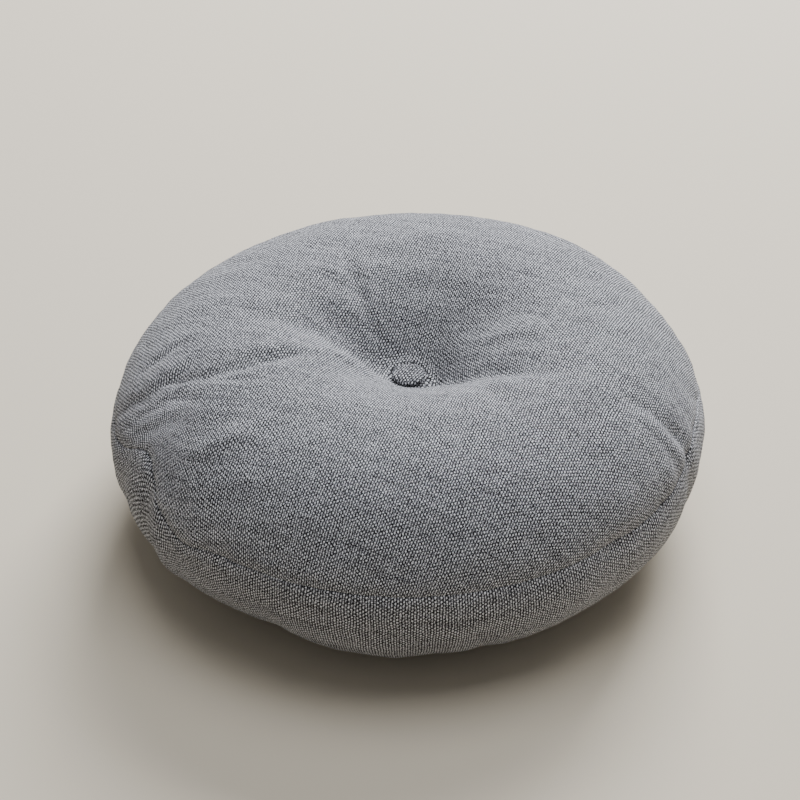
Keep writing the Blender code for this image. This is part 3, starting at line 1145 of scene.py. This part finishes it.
@dataclass
class Studio:
    """A plain pale floor, soft light from behind and above, and the camera."""

    target: tuple[float, float, float] = (-0.0066, 0.0, 0.105)
    elevation: float = 38.0
    distance: float = 1.918
    lens: float = 113.4
    floor_hex: str = "D8CDB8"
    floor_size: float = 8.0
    light_hex: str = "F6F9FF"
    light_size: float = 1.8
    window_power: float = 228.0
    ceiling_power: float = 42.0
    room_hex: str = "F0F1F4"
    room_strength: float = 0.25

    def build(self) -> None:
        """Set up the floor, the lights and the camera."""
        self.build_floor()
        self.build_lights()
        self.build_camera()

    def build_floor(self) -> None:
        """Lay the plain floor that the cushion rests on."""
        bpy.ops.object.select_all(action="DESELECT")
        bpy.ops.mesh.primitive_plane_add(size=self.floor_size, location=(0.0, 0.0, 0.0))
        floor = bpy.context.active_object
        floor.name = "floor"
        material = bpy.data.materials.new("matt_painted_floor")
        material.use_nodes = True
        shader = material.node_tree.nodes["Principled BSDF"]
        shader.inputs["Base Color"].default_value = linear_colour(self.floor_hex)
        shader.inputs["Roughness"].default_value = 0.9
        floor.data.materials.append(material)

    def add_light(self, name: str, place: tuple[float, float, float], power: float) -> None:
        """Add a soft square light that faces the cushion.

        Args:
            name: The light's name.
            place: Where it hangs.
            power: Its power in watts.
        """
        data = bpy.data.lights.new(name, "AREA")
        data.size = self.light_size
        data.energy = power
        data.color = linear_colour(self.light_hex)[:3]
        light = bpy.data.objects.new(name, data)
        light.location = place
        aim = Vector((0.0, 0.0, 0.08)) - Vector(place)
        light.rotation_euler = aim.to_track_quat("-Z", "Y").to_euler()
        bpy.context.scene.collection.objects.link(light)

    def build_lights(self) -> None:
        """Hang the lights and set the even light of the room."""
        self.add_light("window_light", (0.8, 2.6, 2.0), self.window_power)
        self.add_light("ceiling_light", (0.3, 0.1, 2.6), self.ceiling_power)
        world = bpy.data.worlds.new("even_room_light")
        world.use_nodes = True
        background = world.node_tree.nodes["Background"]
        background.inputs["Color"].default_value = linear_colour(self.room_hex)
        background.inputs["Strength"].default_value = self.room_strength
        bpy.context.scene.world = world

    def build_camera(self) -> None:
        """Point the camera down at the cushion from the front."""
        data = bpy.data.cameras.new("camera")
        data.lens = self.lens
        data.sensor_width = 36.0
        camera = bpy.data.objects.new("camera", data)
        tilt = math.radians(self.elevation)
        back = Vector((0.0, -math.cos(tilt), math.sin(tilt))) * self.distance
        camera.location = Vector(self.target) + back
        camera.rotation_euler = (math.radians(90.0 - self.elevation), 0.0, 0.0)
        bpy.context.scene.collection.objects.link(camera)
        bpy.context.scene.camera = camera


def main() -> None:
    """Build the studio, the cushion and its button, and report each piece."""
    logging.basicConfig(level=logging.INFO, format="%(message)s")
    Studio().build()
    cushion = FilledCushion().build(SlubbyWeave("grey_linen_look_cloth"))
    LOG.info("%s: %d faces", cushion.name, len(cushion.data.polygons))
    # The button's copy of the same cloth has darker filling and warp tones: painted shade on the button.
    button = CoveredButton().build(SlubbyWeave("button_cloth_with_painted_shade", filling_tone=0.74, warp_tone=0.15))
    LOG.info("%s: %d faces", button.name, len(button.data.polygons))


if __name__ == "__main__":
    main()
